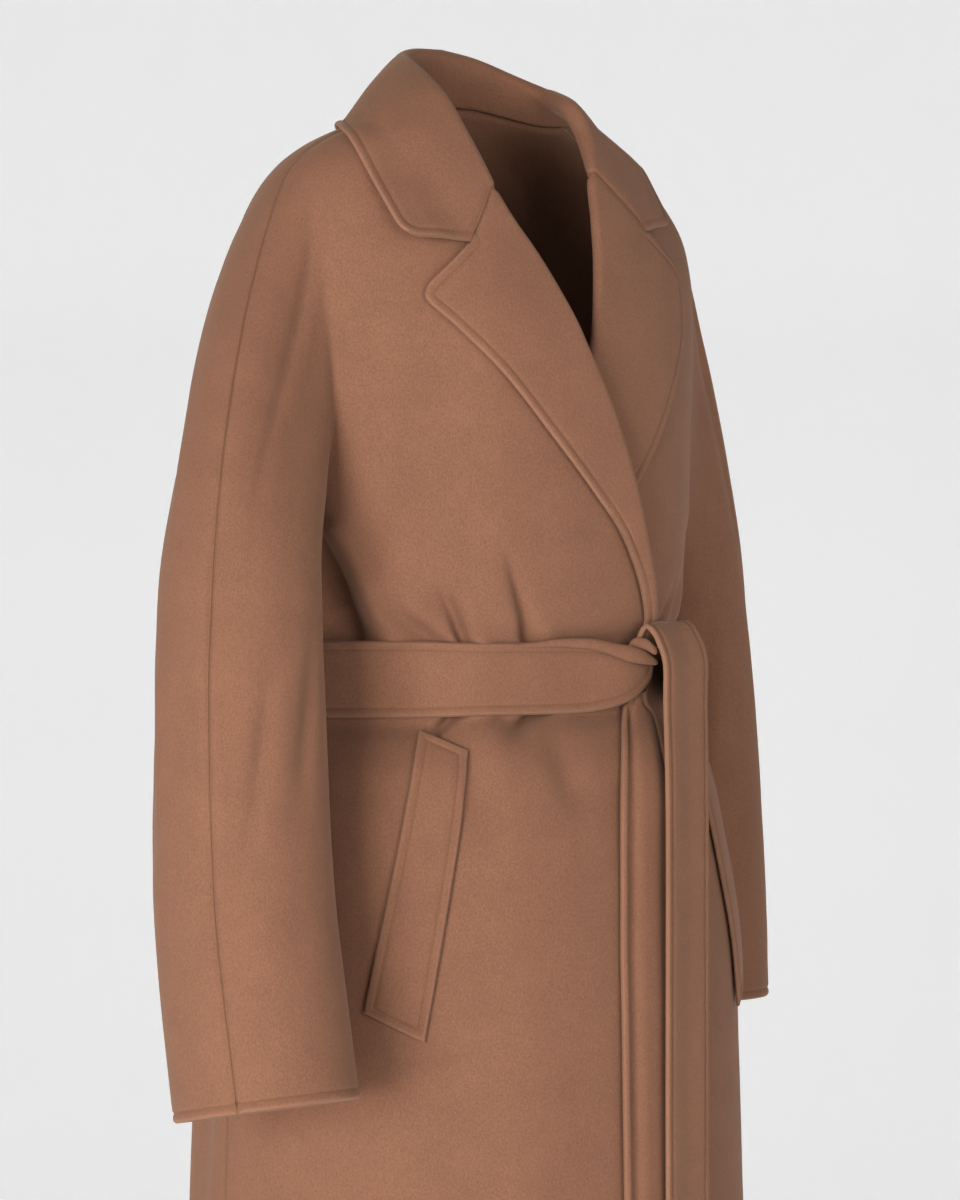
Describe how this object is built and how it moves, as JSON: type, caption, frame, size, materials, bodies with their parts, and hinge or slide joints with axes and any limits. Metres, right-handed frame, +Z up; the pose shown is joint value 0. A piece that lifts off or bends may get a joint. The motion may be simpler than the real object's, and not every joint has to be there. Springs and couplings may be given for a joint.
{
  "type": "wool wrap coat",
  "caption": "Long wool wrap coat with notched collar, wide lapels, wide sleeves and slanted welt pockets, worn closed with its belt in a half knot.",
  "frame": {"origin": "midway between the two points where the shoulder seams meet the collar, within 1 cm in height, where the wearer's shoulders carry the coat", "axes": "+Z up the standing wearer, -Y out of the front, +X to the wearer's left"},
  "size_m": [0.6569, 0.353, 1.1979],
  "materials": {
    "front_right_wool": "brushed nap",
    "front_left_wool": "brushed nap",
    "back_wool": "brushed nap",
    "sleeve_right_front_wool": "brushed nap",
    "sleeve_right_back_wool": "brushed nap",
    "sleeve_left_front_wool": "brushed nap",
    "sleeve_left_back_wool": "brushed nap",
    "collar_wool": "brushed nap",
    "pocket_welt_right_wool": "brushed nap",
    "pocket_welt_left_wool": "brushed nap",
    "belt_band_wool": "brushed nap",
    "belt_knot_wool": "brushed nap",
    "belt_end_front_wool": "brushed nap",
    "belt_end_under_wool": "brushed nap"
  },
  "bodies": {
    "root": {"front_right": "front_right_wool", "front_left": "front_left_wool", "back": "back_wool", "sleeve_right_front": "sleeve_right_front_wool", "sleeve_right_back": "sleeve_right_back_wool", "sleeve_left_front": "sleeve_left_front_wool", "sleeve_left_back": "sleeve_left_back_wool", "collar": "collar_wool", "pocket_welt_right": "pocket_welt_right_wool", "pocket_welt_left": "pocket_welt_left_wool", "belt_band": "belt_band_wool", "belt_knot": "belt_knot_wool", "belt_end_front": "belt_end_front_wool", "belt_end_under": "belt_end_under_wool"}
  },
  "joints": []
}
